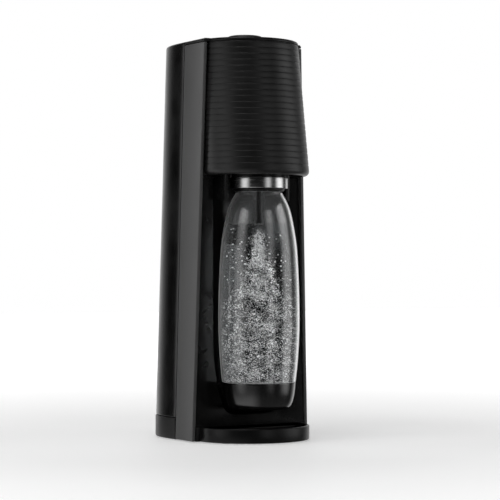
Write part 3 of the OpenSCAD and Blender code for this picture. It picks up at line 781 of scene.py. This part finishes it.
def make_side_panel(name, side, node_name):
    """A plate, with pegs that reach in almost to the frame."""
    lean = math.atan((HALF_W_LOW - HALF_W_TOP) / PANEL_TOP_Z)
    low, high = FOOT_Z + 0.3, PANEL_TOP_Z + 0.5
    front_top_y = PANEL_FRONT_Y - PANEL_LEAN
    plan = rounded(
        [(PANEL_FRONT_Y, low), (PANEL_BACK_Y, low), (PANEL_BACK_Y, high), (front_top_y, high)],
        [1.2, 0.4, 0.4, 1.2],
    )

    def lean_in(u, v, w):
        """A point of the plate: u is along Y, v goes up and w goes in from the outer face."""
        x = -HALF_W_LOW + w * math.cos(lean) + v * math.sin(lean)
        return (-side * x, u, v * math.cos(lean) - w * math.sin(lean))

    shapes = [slab(plan, 0, PANEL_T, 0.9, lean_in, 4)]
    for z in PEG_HEIGHTS:
        reach = half_w(z) - edge("frame_right", HIGH, X) - 0.2
        shapes.append(slab(circle(PEG_R, 24, PEG_Y, z), PANEL_T - 0.1, reach, 0.4, lean_in))
    piece(name, joined(*shapes), "tower", "panel_grey", [node_name])


# ---- Rear cover: one thin shell, open at the front, with a hatch for its button ----

REAR_STEPS = 88
REAR_COVER_T = 2.6
HATCH_W = 26.0
HATCH_H = 13.0


def make_rear_cover():
    """A grid of rings at levels of (height, inset) and columns at turns round the back.

    The columns nearest to the hatch's sides give way to two that lie on them.
    """
    low = REAR_BASE_Z + 0.4
    span = half_w(HATCH_Z)
    hatch_turn = math.acos((HATCH_W / 2 / span) ** (SQUARENESS / 2))
    hatch_sides = [hatch_turn, math.pi - hatch_turn]
    nearest = (REAR_STEPS // 2 - 2, REAR_STEPS // 2 + 2)
    kept = [math.pi * i / REAR_STEPS for i in range(REAR_STEPS + 1) if i not in nearest]
    turns = sorted(kept + hatch_sides)
    hatch_cols = [turns.index(turn) for turn in hatch_sides]
    hatch_low, hatch_high = HATCH_Z - HATCH_H / 2, HATCH_Z + HATCH_H / 2
    levels = [(low, 0.5), (low + 0.5, 0.1), (low + 1.4, 0)]
    levels += [(z, 0) for z in range(50, 380, 30)] + [(hatch_low, 0), (hatch_high, 0)]
    levels += [(415, 0)] + [(FLAT_TOP_Z + dz, d) for dz, d in EDGE_STEPS]
    hatch_rows = [levels.index((z, 0)) for z in (hatch_low, hatch_high)]
    points = []
    for z, inward in levels:
        a, b = half_w(z) - inward, rear_depth(z) - inward
        for t in turns:
            points.append((*bulge_point(a, b, SEAM_Y, SQUARENESS, 1, t), z))
    n = len(turns)
    faces = []
    for i in range(len(levels) - 1):
        for k in range(n - 1):
            in_hatch = hatch_rows[0] <= i < hatch_rows[1] and hatch_cols[0] <= k < hatch_cols[1]
            if not in_hatch:
                a, b = i * n, (i + 1) * n
                faces.append((a + k, a + k + 1, b + k + 1, b + k))
    start = (len(levels) - 1) * n
    faces.append(tuple(range(start, start + n)))
    piece(
        "rear_cover_shell", (points, faces), "cover", "cover_black", ["rear_cover"],
        thickness=REAR_COVER_T, bevel=0.35,
    )


def make_cover_button():
    """A pad in the hatch with three ridges for the thumb, and a flange behind the cover's wall."""
    face_y = edge("cover_button", HIGH, Y)
    gap, lap = 0.4, 1.8
    w, h = HATCH_W / 2 - gap, HATCH_H / 2 - gap
    plan = rounded(rectangle(w, h), 1.2)
    flange = rounded(rectangle(w + lap, h + lap), 1.2)

    def facing_back(u, v, t):
        """A point of the button: t goes in from its face."""
        return (-u, face_y - t, HATCH_Z + v)

    shapes = [slab(plan, 0, 5.0, 0.7, facing_back), slab(flange, 4.1, 5.5, 0.3, facing_back)]
    for v in (-2.4, 0, 2.4):
        ridge = rounded(rectangle(7, 0.5, v), 0.45)
        shapes.append(slab(ridge, -0.25, 0.6, 0.2, facing_back))
    shape = joined(*shapes)
    piece("cover_release_button", shape, "latch_button", "button_black", ["cover_button"])


# ---- Base, drip tray and back wall ----

BASE_ARC_A = 64.2  # half the width of the base's round front
BASE_ARC_B = PANEL_FRONT_Y - FRONT_Y  # how far that front reaches forward


def d_ring(a, b, inward, z, steps=72):
    """A half-ellipse with a straight back on the line where the side panels start."""
    return [(x, y, z) for x, y in bulge(a - inward, b - inward, PANEL_FRONT_Y, 2, -1, steps)]


def make_base():
    """A dished front, a slab under the back wall, and a rear part with a well for the cylinder.

    The levels are (inset, height) pairs up the outside, and in front on down into the dish.
    """
    a, b = BASE_ARC_A, BASE_ARC_B
    front_levels = [
        (1.0, FOOT_Z), (0.3, FOOT_Z + 0.3), (0, FOOT_Z + 1), (0, FRONT_BASE_Z - 1.3),
        (0.15, FRONT_BASE_Z - 0.7), (0.6, FRONT_BASE_Z - 0.2), (1.3, FRONT_BASE_Z),
        (3.4, FRONT_BASE_Z), (4.1, FRONT_BASE_Z - 0.3), (4.5, FRONT_BASE_Z - 1),
        (4.5, TRAY_Z + 0.6), (5.1, TRAY_Z),
    ]
    front = loft([d_ring(a, b, d, z) for d, z in front_levels])
    mid_w = half_w(REAR_BASE_Z) - PANEL_T - 0.4
    plan = rounded(
        [(-mid_w, PANEL_FRONT_Y), (mid_w, PANEL_FRONT_Y), (mid_w, SEAM_Y), (-mid_w, SEAM_Y)], 0.8
    )
    centre = slab(plan, FOOT_Z, FRONT_BASE_Z, 0.5, upright)
    rear_levels = [
        (1.0, FOOT_Z), (0.3, FOOT_Z + 0.3), (0, FOOT_Z + 1), (0, REAR_BASE_Z - 1.2),
        (0.35, REAR_BASE_Z - 0.35), (1.2, REAR_BASE_Z),
    ]
    depth = REAR_Y - SEAM_Y
    rings = []
    for d, z in rear_levels:
        ring = bulge(HALF_W_LOW - d, depth - d, SEAM_Y, SQUARENESS, 1, REAR_STEPS)
        rings.append([(x, y, z) for x, y in ring])
    well_r = radius("cylinder_seat") + 0.2
    well_low, well_high = 4.0, 40.0
    outline = [(0, well_low), (well_r, well_low), (well_r, well_high), (0, well_high)]
    well = lathe(outline, 0, CYLINDER_Y, 96)
    piece("base_moulding", joined(front, centre), "tower", "satin_black", ["base_shell"])
    piece("base_moulding_rear", loft(rings), "tower", "satin_black", [], cutter=well)


def make_drip_tray():
    """A shallow tray with a raised rim; its back edge is kept straight."""
    gap = 4.8
    top = edge("drip_tray", HIGH, Z)
    levels = [
        (gap + 0.5, TRAY_Z), (gap, TRAY_Z + 0.5), (gap, top - 0.4), (gap + 0.25, top),
        (gap + 1.1, top), (gap + 1.4, top - 0.4), (gap + 1.4, TRAY_Z + 2.6),
        (gap + 2.4, TRAY_Z + 1.6),
    ]
    rings = []
    for d, z in levels:
        back_y = PANEL_FRONT_Y - 0.3 - min(d - gap, 1.4)
        ring = d_ring(BASE_ARC_A, BASE_ARC_B, d, z)
        rings.append([(x, min(y, back_y), z) for x, y, _ in ring])
    piece("drip_tray_insert", loft(rings), "tray", "tray_black", ["drip_tray"])


NICHE_R = 50.0
NICHE_FLOOR_Z = 28.6
NICHE_SIDE = [
    (27, NICHE_FLOOR_Z), (32.5, 30.0), (36.5, 34.1), (39.7, 42), (44.4, 58), (48.6, 85),
    (NICHE_R, 112),
]


def out_of_mouth(line):
    """The direction square to a line at each of its points; its two ends point sideways."""
    last = len(line) - 1
    outward = []
    for i in range(last + 1):
        along = (line[min(i + 1, last)] - line[max(i - 1, 0)]).normalized()
        outward.append(Vector((along.y, -along.x)))
    for i in (0, last):
        outward[i] = Vector((math.copysign(1, line[i].x), 0))
    return outward


def make_back_wall():
    """A plate with a round niche for the bottle, joined to it by a soft lip."""
    top = RIM_Z - 0.3
    lip = 1.3
    profile = smooth(NICHE_SIDE, 5) + [(NICHE_R, z) for z in range(130, 280, 25)] + [(NICHE_R, top)]
    reach = BACK_WALL_Y + lip - BOTTLE_Y
    columns = 48
    rows = []
    for r, z in profile:
        widest = math.acos(min(reach / r, 1))
        row = []
        for k in range(columns + 1):
            a = -widest + 2 * widest * k / columns
            row.append((r * math.sin(a), BOTTLE_Y + r * math.cos(a), z))
        rows.append(row)
    points, faces = loft(rows, close_ring=False, caps=False)
    faces.append(tuple(range(columns + 1)))

    # The niche's mouth as one line: down the left edge and up the right edge
    n = columns + 1
    count = len(rows)
    mouth = [i * n for i in reversed(range(count))] + [i * n + n - 1 for i in range(count)]
    flat = [Vector((points[i][0], points[i][2])) for i in mouth]
    outward = out_of_mouth(flat)
    previous = mouth
    for depth, spread in quarter_round(lip, 4)[1:]:
        start = len(points)
        for p, v in zip(flat, outward):
            q = p + v * spread
            points.append((q.x, BACK_WALL_Y + depth, q.y))
        line = list(range(start, start + len(mouth)))
        faces += strip(previous, line)
        previous = line

    # The flat plate round the mouth, out to the side panels
    start = len(points)
    for p in flat:
        z = FRONT_BASE_Z + (p.y - NICHE_FLOOR_Z) * (top - FRONT_BASE_Z) / (top - NICHE_FLOOR_Z)
        x = half_w(max(z, REAR_BASE_Z)) - PANEL_T - 0.5
        points.append((math.copysign(x, p.x), BACK_WALL_Y, z))
    faces += strip(previous, list(range(start, start + len(mouth))))
    piece(
        "niche_back_wall", (points, faces), "tower", "wall_black", ["back_wall"],
        sharp=45, thickness=2.4,
    )


# ---- Bottle holder ----


def make_collar():
    r = radius("steel_collar")
    bore_r = r - 1.4
    low, high = heights("steel_collar")
    outline = rounded([(bore_r, low), (r, low), (r, high), (bore_r, high)], 0.5)
    shape = lathe(outline, 0, BOTTLE_Y)
    piece("brushed_collar", shape, "holder", "collar_steel", ["steel_collar"])


def make_lower_ring():
    r = radius("lower_ring")
    bore_r = 23.0
    low, high = heights("lower_ring")
    outline = rounded([(bore_r, low), (r - 1.2, low), (r, low + 1.5), (r, high), (bore_r, high)], 0.5)
    shape = lathe(outline, 0, BOTTLE_Y)
    piece("neck_guard_ring", shape, "holder", "holder_black", ["lower_ring"])


# ---- Bottle, cup, water and bubbles ----

BOTTLE_R = 43.5
BOTTLE_Z, CUP_TOP_Z = heights("bottle_cup")
MOUTH_Z = edge("bottle", HIGH, Z)
NECK_Z = 266.0
NECK_R = 22.0
BOTTLE_WALL = 1.8
BOTTLE_FLOOR = 1.2
# Rows of (radius, height) for the outside of the bottle, above the cup and inside it
BOTTLE_SIDE = [
    (BOTTLE_R - 4, CUP_TOP_Z + 0.6), (BOTTLE_R - 1.8, 85), (BOTTLE_R - 0.1, 115),
    (BOTTLE_R, 145), (BOTTLE_R - 1.2, 183), (BOTTLE_R - 3.6, 215),
    (BOTTLE_R - 10, 247.5), (25, NECK_Z),
]
BOTTLE_BOTTOM = [
    (0, BOTTLE_Z + 4.6), (18, BOTTLE_Z + 5.2), (30, BOTTLE_Z + 9),
    (36, BOTTLE_Z + 18), (37.5, CUP_TOP_Z),
]
# The inside of the bottle, from the middle of its floor up to the neck
INNER_SIDE = smooth([(max(r - BOTTLE_WALL, 0), z + BOTTLE_FLOOR) for r, z in BOTTLE_BOTTOM])
INNER_SIDE += [(r - BOTTLE_WALL, z) for r, z in smooth(BOTTLE_SIDE)]


def make_bottle():
    outer = smooth(BOTTLE_BOTTOM) + smooth(BOTTLE_SIDE)
    outer += [(NECK_R + 0.6, NECK_Z + 0.6), (NECK_R, NECK_Z + 1.4)]
    outer += [(NECK_R, MOUTH_Z - 0.6), (NECK_R - 0.4, MOUTH_Z)]
    bore_r = NECK_R - BOTTLE_WALL
    bore = [(bore_r, NECK_Z + 2), (bore_r, MOUTH_Z - 0.5), (bore_r + 0.4, MOUTH_Z)]
    shape = lathe(outer + list(reversed(INNER_SIDE + bore)), 0, BOTTLE_Y, 160)
    piece("clear_bottle", shape, "bottle", "bottle_clear", ["bottle"], sharp=60)


def make_cup():
    outside = smooth([
        (24, BOTTLE_Z), (30.5, BOTTLE_Z + 0.8), (35, BOTTLE_Z + 5.2),
        (37.8, BOTTLE_Z + 15), (BOTTLE_R - 4.1, CUP_TOP_Z - 0.5),
    ])
    inside = smooth([(r + 0.35 if r else 0, z - 0.4) for r, z in BOTTLE_BOTTOM])
    rim = [(BOTTLE_R - 4.4, CUP_TOP_Z), (38.2, CUP_TOP_Z), (37.9, CUP_TOP_Z - 0.3)]
    hollow = [(0, BOTTLE_Z + 1), (22, BOTTLE_Z + 1)]
    shape = lathe(hollow + outside + rim + list(reversed(inside)), 0, BOTTLE_Y, 160)
    piece("bottle_base_cup", shape, "bottle", "cup_black", ["bottle_cup"], sharp=50)


def make_water():
    """The water stays a hair's breadth off the bottle, and creeps up it at the surface."""
    gap = 0.08
    side = [(max(r - gap, 0), z + gap) for r, z in INNER_SIDE if z < WATER_Z - 1]
    top_r = radius_at(INNER_SIDE, WATER_Z) - gap
    side += [(top_r, WATER_Z + 0.3), (top_r - 0.8, WATER_Z), (0, WATER_Z)]
    shape = lathe(side, 0, BOTTLE_Y, 128)
    piece("water", shape, "bottle", "bottle_clear", [], WATER_LOOK, sharp=60)


def unit_ball(level):
    """A small round bubble; level 0 has 20 faces and level 1 has 80."""
    bm = bmesh.new()
    bmesh.ops.create_icosphere(bm, subdivisions=level + 1, radius=1)
    points = [tuple(v.co) for v in bm.verts]
    faces = [tuple(v.index for v in f.verts) for f in bm.faces]
    bm.free()
    return points, faces


# (half-width, height) of the bubble plume, which fills the bottle lower down
PLUME = [(38.0, 140.0), (30.0, 150.0), (20.0, 163.0), (8.0, 193.0), (1.2, 226.0)]
WISPS = 1000
WISP_STEP = 0.9
WISP_SIZES = (0.2, 0.23, 0.27, 0.32, 0.4)
LOOSE_BUBBLES = 460
LOOSE_SIZES = (0.35, 0.42, 0.5, 0.6, 0.8)
ROUNDER_FROM = 0.55  # the size from which a bubble gets the ball with more faces
BUBBLE_GAP = 1.2  # the least room between a bubble and the bottle


def make_bubbles():
    """Wisps of fine bubbles in a plume below the nozzle, and larger ones strewn about it.

    A wisp goes down from its start in an upright plane, curling to one side by turn at each step.
    """
    rng = random.Random(7)
    top_z = edge("nozzle_tip", LOW, Z) - 3
    low_z = CUP_TOP_Z - 8
    balls = (unit_ball(0), unit_ball(1))
    shapes = []

    def add_bubble(x, y, z, size, reach):
        """A bubble at a place from the bottle's axis, moved in if it is too far out."""
        room = min(radius_at(INNER_SIDE, z) - BUBBLE_GAP - size, reach)
        r = math.hypot(x, y)
        if r > room:
            x, y = x * room / r, y * room / r
        points, faces = balls[1 if size > ROUNDER_FROM else 0]
        moved = [(x + size * u, BOTTLE_Y + y + size * v, z + size * w) for u, v, w in points]
        shapes.append((moved, faces))

    for _ in range(WISPS):
        depth = rng.random() ** 0.75
        z = top_z - (top_z - low_z) * depth
        r = radius_at(PLUME, z) * rng.random() ** 0.75
        a = rng.uniform(0, 2 * math.pi)
        x, y = r * math.cos(a), r * math.sin(a)
        side_x, side_y = math.cos(a + 1.2), math.sin(a + 1.2)
        turn, heading = rng.uniform(-0.35, 0.35), rng.uniform(-1.4, 1.4)
        jitter = 0.3 + 1.7 * depth
        for _ in range(rng.randint(10, 20)):
            heading += turn
            x += WISP_STEP * math.sin(heading) * side_x
            y += WISP_STEP * math.sin(heading) * side_y
            z -= WISP_STEP * math.cos(heading)
            if low_z - 4 < z < top_z:
                add_bubble(
                    x + rng.gauss(0, jitter), y + rng.gauss(0, jitter), z,
                    rng.choice(WISP_SIZES), radius_at(PLUME, z) + abs(rng.gauss(0, 3)),
                )
    for _ in range(LOOSE_BUBBLES):
        z = rng.uniform(low_z, WATER_Z - 6)
        r = radius_at(INNER_SIDE, z) * rng.uniform(0.25, 1.0)
        a = rng.uniform(0, 2 * math.pi)
        size = rng.choice(LOOSE_SIZES) * rng.uniform(0.85, 1.1)
        add_bubble(r * math.cos(a), r * math.sin(a), z, size, r)
    piece("bubbles", joined(*shapes), "bottle", "bottle_clear", [], GLOWING_BUBBLE_LOOK, sharp=80)


# ---- Gas cylinder ----


def make_cylinder():
    """A dished foot with a rounded heel, a straight side and a round shoulder."""
    r = radius("gas_cylinder")
    low, high = heights("gas_cylinder")
    heel, neck_r, shoulder_z = 4.0, 12.0, 330.0
    outline = [(0, low + 1.5), (r - 9, low + 1.5), (r - 7, low)]
    outline += [(r - inward, low + rise) for inward, rise in quarter_round(heel, 6)]
    outline += [
        (neck_r + (r - neck_r) * math.cos(a), shoulder_z + (high - shoulder_z) * math.sin(a))
        for a in [math.radians(6 * k) for k in range(15)]
    ]
    outline += [(neck_r, high), (0, high)]
    shape = lathe(outline, 0, CYLINDER_Y)
    piece("painted_gas_cylinder", shape, "cylinder", "cylinder_paint", ["gas_cylinder"])


# ---- CAD nodes shown with softened edges: name, edge radius, body, material slot ----

SOFTENED = [
    ("bottom_plate", 0.5, "tower", "dark_plastic"),
    ("feet", 0.4, "tower", "rubber"),
    ("base_screws", 0.25, "tower", "screw_steel"),
    ("frame_left", 0.4, "tower", "frame_plastic"),
    ("frame_right", 0.4, "tower", "frame_plastic"),
    ("frame_bracket", 0.6, "tower", "frame_plastic"),
    ("frame_screws", 0.3, "tower", "screw_steel"),
    ("holder_deck", 0.4, "tower", "frame_plastic"),
    ("spring_deck", 0.4, "tower", "frame_plastic"),
    ("valve_deck", 0.4, "tower", "frame_plastic"),
    ("head_underside", 0.5, "tower", "dark_plastic"),
    ("lever_pin", 0.3, "tower", "spring_steel"),
    ("gas_block", 0.5, "tower", "brass"),
    ("gas_block_seal", 0.3, "tower", "rubber"),
    ("relief_valve", 0.3, "tower", "brass"),
    ("gas_tube", 0.2, "tower", "tube_plastic"),
    ("gas_elbow", 0.4, "tower", "brass"),
    ("holder_pins", 0.3, "tower", "spring_steel"),
    ("holder_detent", 0.15, "tower", "spring_steel"),
    ("cylinder_seat", 0.5, "tower", "dark_plastic"),
    ("lock_lever_pins", 0.25, "tower", "spring_steel"),
    ("actuator_lever", 0.5, "lever", "lever_metal"),
    ("valve_plunger", 0.2, "plunger", "spring_steel"),
    ("holder_yoke", 0.8, "holder", "holder_black"),
    ("carbonation_head", 0.8, "holder", "holder_black"),
    ("neck_seal", 0.4, "holder", "rubber"),
    ("nozzle_tube", 0.15, "holder", "nozzle_black"),
    ("nozzle_tip", 0.3, "holder", "nozzle_black"),
    ("cylinder_valve", 0.4, "cylinder", "brass"),
    ("lock_lever", 0.5, "lock", "lever_pink"),
]


# ---- Stage: floor, lights and camera ----

AIM_AZIMUTH = math.radians(-32)
AXIS_Y = -28.5  # the upright line that the camera's place is measured from
CAMERA_DISTANCE = 1995.0
CAMERA_Z = 177.0
AIM_Z = 204.8
AIM_LEFT = 1.1
LENS = 132.84
LIGHT_AIM_M = Vector((0, 0, 0.22))
TOWARD = Vector((math.sin(AIM_AZIMUTH), -math.cos(AIM_AZIMUTH), 0))
RIGHT = Vector((math.cos(AIM_AZIMUTH), math.sin(AIM_AZIMUTH), 0))


def make_camera():
    """A camera where the photo's seems to have stood."""
    data = bpy.data.cameras.new("camera")
    data.lens = LENS
    data.sensor_width = 36
    camera = bpy.data.objects.new("camera", data)
    bpy.context.scene.collection.objects.link(camera)
    axis = Vector((0, AXIS_Y, 0))
    place = axis + TOWARD * CAMERA_DISTANCE + Vector((0, 0, CAMERA_Z))
    target = axis - RIGHT * AIM_LEFT + Vector((0, 0, AIM_Z))
    camera.location = place * MM
    camera.rotation_euler = (target - place).to_track_quat("-Z", "Y").to_euler()
    bpy.context.scene.camera = camera


def fade_sides(data, fade):
    """Lets a soft box fade out over a share of its width at either side."""
    data.use_nodes = True
    tree = data.node_tree
    place = add(tree, "NewGeometry").outputs["Parametric"]
    across = add(tree, "SeparateXYZ", {0: place}).outputs["X"]
    near = ranged(tree, across, 0.0, 1.0, 0.0, fade)
    far = ranged(tree, across, 0.0, 1.0, 1.0, 1.0 - fade)
    both = add(tree, "Math", {0: near, 1: far}, operation="MULTIPLY").outputs["Value"]
    connect(tree, tree.nodes["Emission"], {"Strength": both})


def make_light(name, azimuth, distance, height, width, tall, radiance, fade):
    """A soft box at an angle to the right of the camera, aimed at the object.

    Its lengths are in metres; fade is the share of its width that dims at either side.
    """
    data = bpy.data.lights.new(name, "AREA")
    data.shape = "RECTANGLE"
    data.size = width
    data.size_y = tall
    data.energy = radiance * math.pi * width * tall
    fade_sides(data, fade)
    light = bpy.data.objects.new(name, data)
    bpy.context.scene.collection.objects.link(light)
    a = math.radians(azimuth)
    away = TOWARD * math.cos(a) + RIGHT * math.sin(a)
    light.location = away * distance + Vector((0, 0, height))
    to_aim = LIGHT_AIM_M - light.location
    light.rotation_euler = to_aim.to_track_quat("-Z", "Y").to_euler()
    light.visible_camera = False


def make_world():
    """White to the eye; in reflections, bright behind and low on the left, dark elsewhere."""
    world = bpy.data.worlds.new("studio")
    bpy.context.scene.world = world
    world.use_nodes = True
    tree = world.node_tree
    direction = add(tree, "TexCoord").outputs["Generated"]

    def share_of(axis):
        """How far the direction goes along an axis."""
        inputs = {0: direction, 1: tuple(axis)}
        return add(tree, "VectorMath", inputs, operation="DOT_PRODUCT").outputs["Value"]

    behind = ranged(tree, share_of(TOWARD), 0.012, 1.0, -0.6, -0.88)
    height = add(tree, "SeparateXYZ", {0: direction}).outputs["Z"]
    low = ranged(tree, height, 0.0, 0.8, -0.15, -0.5)
    left = ranged(tree, share_of(RIGHT), 0.15, 1.0, 0.1, -0.4)
    low_left = add(tree, "Math", {0: low, 1: left}, operation="MULTIPLY").outputs[0]
    glow = add(tree, "Math", {0: behind, 1: low_left}, operation="MAXIMUM").outputs[0]
    seen = add(tree, "LightPath").outputs["Is Camera Ray"]
    strength = ranged(tree, seen, glow, 1.0, 0.0, 1.0)
    connect(tree, tree.nodes["Background"], {"Color": grey(1.0), "Strength": strength})


def make_floor():
    """A floor that the object stands on and shades, but does not mirror."""
    size = 6000.0
    points = [Vector((x, y, 0)) * MM for x, y in rectangle(size, size)]
    obj = new_mesh_object("floor", points, [(0, 1, 2, 3)])
    obj.data.materials.append(floor_look())
    obj.visible_glossy = False
    obj.visible_transmission = False


# ---- Build ----

make_camera()
make_world()
make_floor()
make_light("left_box", -57, 2.1, 0.5, 1.7, 1.9, 1.25, 0.4)
make_light("left_strip", -99, 1.2, 0.3, 0.4, 1.3, 2.3, 0.3)
make_light("right_near_box", 37, 2.1, 0.5, 1.2, 1.9, 0.95, 0.45)
make_light("right_box", 90, 2.1, 0.5, 1.8, 1.9, 1.6, 0.35)
make_light("top_box", -35, 0.6, 2.3, 1.3, 1.5, 3.1, 0.2)

make_head_casing()
make_top_cover()
make_button()
make_lever_spring()
make_bezel()
make_side_panel("smooth_left_panel", -1, "left_side_panel")
make_side_panel("smooth_right_panel", 1, "right_side_panel")
make_rear_cover()
make_cover_button()
make_base()
make_drip_tray()
make_back_wall()
make_collar()
make_lower_ring()
make_bottle()
make_cup()
make_water()
make_bubbles()
make_cylinder()
for node_settings in SOFTENED:
    softened(*node_settings)

bpy.context.scene.view_settings.view_transform = "Standard"
